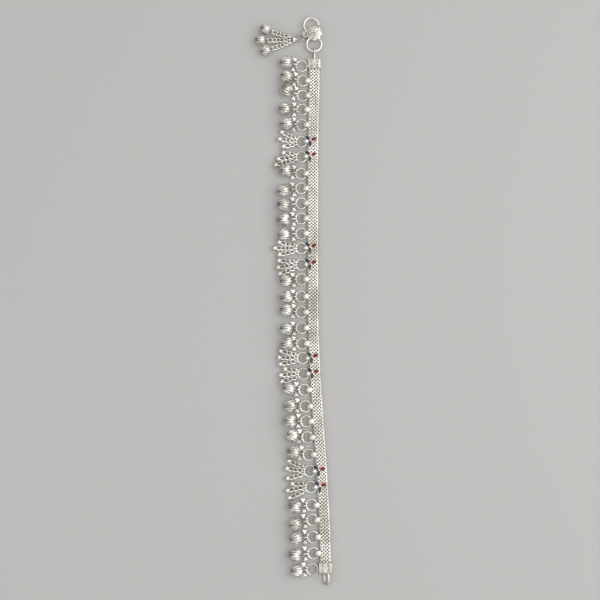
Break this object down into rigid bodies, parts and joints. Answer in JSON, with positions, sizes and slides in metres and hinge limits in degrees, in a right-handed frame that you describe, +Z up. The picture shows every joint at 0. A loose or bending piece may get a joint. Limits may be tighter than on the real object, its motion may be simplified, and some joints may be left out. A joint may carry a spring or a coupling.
{
  "type": "payal anklet",
  "caption": "Silver payal anklet lying open: a flat woven band with capped ends, a clasp hook with a tassel, and a fringe of rings, bells, leaf drops and ball-ended chains.",
  "frame": {"origin": "middle of the underside of the whole anklet as it lies open", "axes": "+Z up off the surface it lies on, +Y along the band towards the clasp hook, -X towards the fringe"},
  "size_m": [0.0363, 0.2656, 0.0062],
  "materials": {
    "woven_silver": "bright woven silver with dark recesses",
    "cast_silver": "cast and polished silver, darkened in the recesses",
    "wire_silver": "drawn silver wire, polished",
    "bell_silver": "pressed sheet silver, ribbed and polished",
    "red_enamel": "glossy crimson enamel",
    "blue_enamel": "glossy violet-blue enamel",
    "green_enamel": "glossy dark green enamel"
  },
  "bodies": {
    "root": {"band": "woven_silver", "bell_01": "bell_silver", "bell_02": "bell_silver", "bell_03": "bell_silver", "bell_04": "bell_silver", "bell_05": "bell_silver", "bell_06": "bell_silver", "bell_07": "bell_silver", "bell_08": "bell_silver", "bell_09": "bell_silver", "bell_10": "bell_silver", "bell_11": "bell_silver", "bell_12": "bell_silver", "bell_13": "bell_silver", "bell_14": "bell_silver", "bell_15": "bell_silver", "bell_16": "bell_silver", "bell_17": "bell_silver", "bell_18": "bell_silver", "bell_19": "bell_silver", "bell_20": "bell_silver", "bell_21": "bell_silver", "bell_22": "bell_silver", "bell_23": "bell_silver", "bell_24": "bell_silver", "bell_25": "bell_silver", "chain_drop_1": "wire_silver", "chain_drop_2": "wire_silver", "chain_drop_3": "wire_silver", "chain_drop_4": "wire_silver", "chain_drop_5": "wire_silver", "chain_drop_6": "wire_silver", "chain_drop_7": "wire_silver", "chain_drop_8": "wire_silver", "clasp_hook": "cast_silver", "enamel_blue": "blue_enamel", "enamel_green": "green_enamel", "enamel_red": "red_enamel", "end_cap_clasp_end": "cast_silver", "end_cap_eye_end": "cast_silver", "fringe_rings": "wire_silver", "leaf_drops": "cast_silver", "tassel_bell_1": "bell_silver", "tassel_bell_2": "bell_silver", "tassel_bell_3": "bell_silver", "tassel_chains": "wire_silver", "tassel_link": "wire_silver"}
  },
  "joints": []
}
